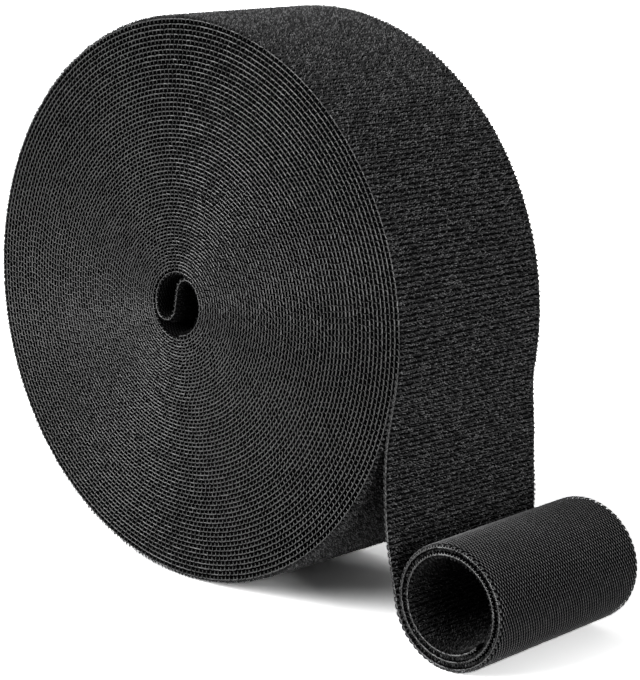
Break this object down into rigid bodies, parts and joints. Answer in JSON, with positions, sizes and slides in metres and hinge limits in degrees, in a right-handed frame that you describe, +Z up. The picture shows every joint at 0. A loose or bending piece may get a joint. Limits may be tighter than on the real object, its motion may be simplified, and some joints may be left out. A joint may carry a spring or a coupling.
{
  "type": "hook and loop tape roll",
  "caption": "Roll of wide double sided hook and loop tape standing on its rim, with an S fold in its eye and a loose tail that hangs from the coil and curls into a small end roll.",
  "frame": {"origin": "middle of the flat foot that the coil stands on", "axes": "+Z up, +Y along the coil's axis across the tape's width, +X to the side where the tail leaves"},
  "size_m": [0.1719, 0.0508, 0.1389],
  "materials": {
    "hook_side": "black woven nylon set with rows of stiff hooks",
    "loop_side": "black knitted nylon with a ribbed, brushed loop pile",
    "tape_edge": "dark grey cut edges of the wound tape"
  },
  "bodies": {
    "coil": {"start_fold_hook_ply": "hook_side", "start_fold_loop_ply": "loop_side", "inner_turns": "tape_edge", "coil_hook_ply": "hook_side", "coil_loop_ply": "loop_side"},
    "tail": {"tail_hook_ply": "hook_side", "tail_loop_ply": "loop_side"},
    "end_roll": {"end_roll_hook_ply": "hook_side", "end_roll_loop_ply": "loop_side"}
  },
  "joints": [
    {"name": "tail_peel", "type": "hinge", "parent": "coil", "child": "tail", "pos_m": [0.06989, 0, 0.05921], "axis": [0, -1, 0], "range_deg": [0, 75]},
    {"name": "end_roll_lift", "type": "hinge", "parent": "tail", "child": "end_roll", "pos_m": [0.06956, 0, 0.03279], "axis": [0, -1, 0], "range_deg": [0, 60]}
  ]
}
